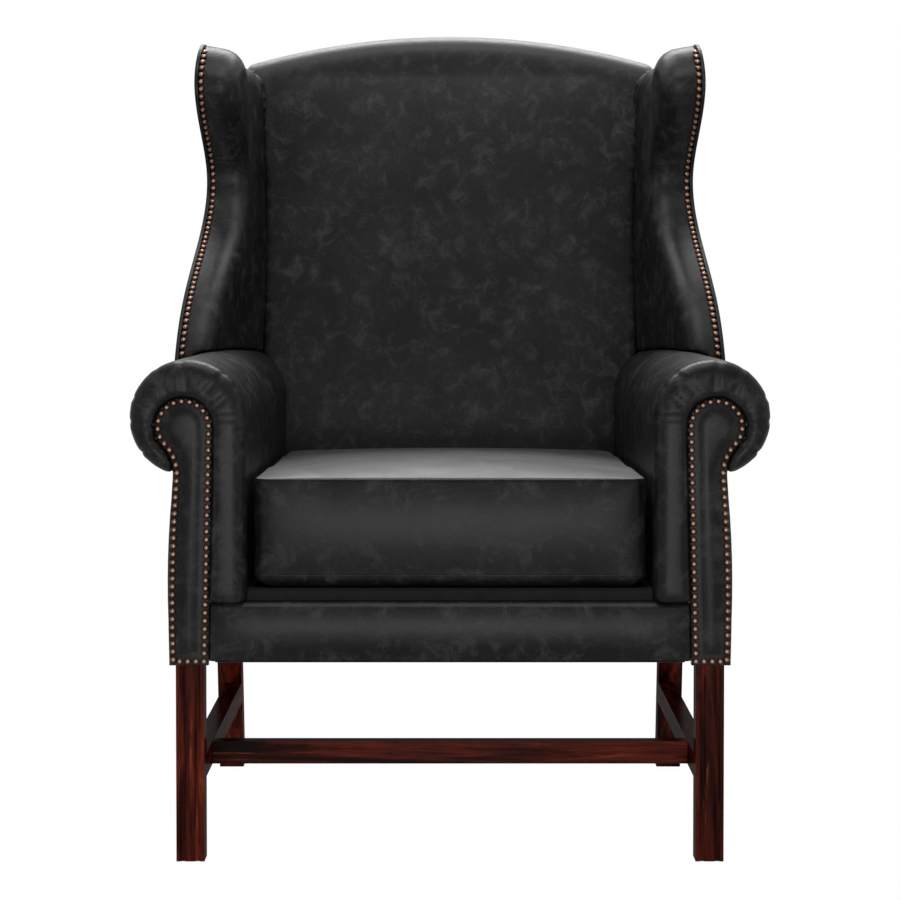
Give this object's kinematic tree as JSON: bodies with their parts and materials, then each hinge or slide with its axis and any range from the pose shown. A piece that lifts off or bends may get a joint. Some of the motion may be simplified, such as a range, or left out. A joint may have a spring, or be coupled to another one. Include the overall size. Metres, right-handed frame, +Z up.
{
  "type": "wing-back armchair",
  "caption": "High wing-back armchair with scroll arms, close-nailed black leather, a loose boxed seat cushion and a square-legged mahogany stretcher base.",
  "frame": {"origin": "on the floor under the middle of the chair's box", "axes": "+Z up, the seat faces -Y, +X is the right-hand side as seen from the front"},
  "size_m": [0.817, 0.8194, 1.1146],
  "materials": {
    "leather": "rubbed, satin",
    "mahogany": "polished, dark red",
    "beech": "sawn, bare",
    "nail_brass": "antiqued",
    "steel": "plain wire",
    "hessian": "woven jute",
    "black_cloth": "plain black cloth",
    "foam": "open-cell foam"
  },
  "bodies": {
    "chair": {"arm_board_left": "beech", "arm_board_right": "beech", "arm_facing_left": "leather", "arm_facing_right": "leather", "arm_post_left": "beech", "arm_post_right": "beech", "back_hessian": "hessian", "back_post_left": "beech", "back_post_right": "beech", "back_tacking_rail": "beech", "back_webbing": "hessian", "corner_block_screws": "steel", "corner_blocks": "beech", "crest_rail": "beech", "cross_stretcher": "mahogany", "deck_pad": "black_cloth", "dust_cover": "black_cloth", "facing_nails_left": "nail_brass", "facing_nails_right": "nail_brass", "frame_dowels": "beech", "front_border": "leather", "front_leg_left": "mahogany", "front_leg_right": "mahogany", "front_rail": "beech", "inside_arm_left": "leather", "inside_arm_right": "leather", "inside_back": "leather", "inside_wing_left": "leather", "inside_wing_right": "leather", "leg_glides": "steel", "outside_arm_left": "leather", "outside_arm_right": "leather", "outside_back": "leather", "outside_wing_left": "leather", "outside_wing_right": "leather", "rear_leg_left": "mahogany", "rear_leg_right": "mahogany", "rear_rail": "beech", "seat_hessian": "hessian", "seat_springs": "steel", "side_rail_left": "beech", "side_rail_right": "beech", "side_stretcher_left": "mahogany", "side_stretcher_right": "mahogany", "spring_clips": "steel", "wing_board_left": "beech", "wing_board_right": "beech", "wing_nails_left": "nail_brass", "wing_nails_right": "nail_brass"},
    "seat_cushion": {"cushion_cover": "leather", "cushion_foam": "foam", "zip_tape": "black_cloth"},
    "zip_slider": {"zip_slider": "nail_brass"}
  },
  "joints": [
    {"name": "cushion_lift", "type": "slide", "parent": "chair", "child": "seat_cushion", "axis": [0, 0, 1], "range_m": [0, 0.32]},
    {"name": "zip_slide", "type": "slide", "parent": "seat_cushion", "child": "zip_slider", "axis": [-1, 0, 0], "range_m": [0, 0.33]}
  ]
}
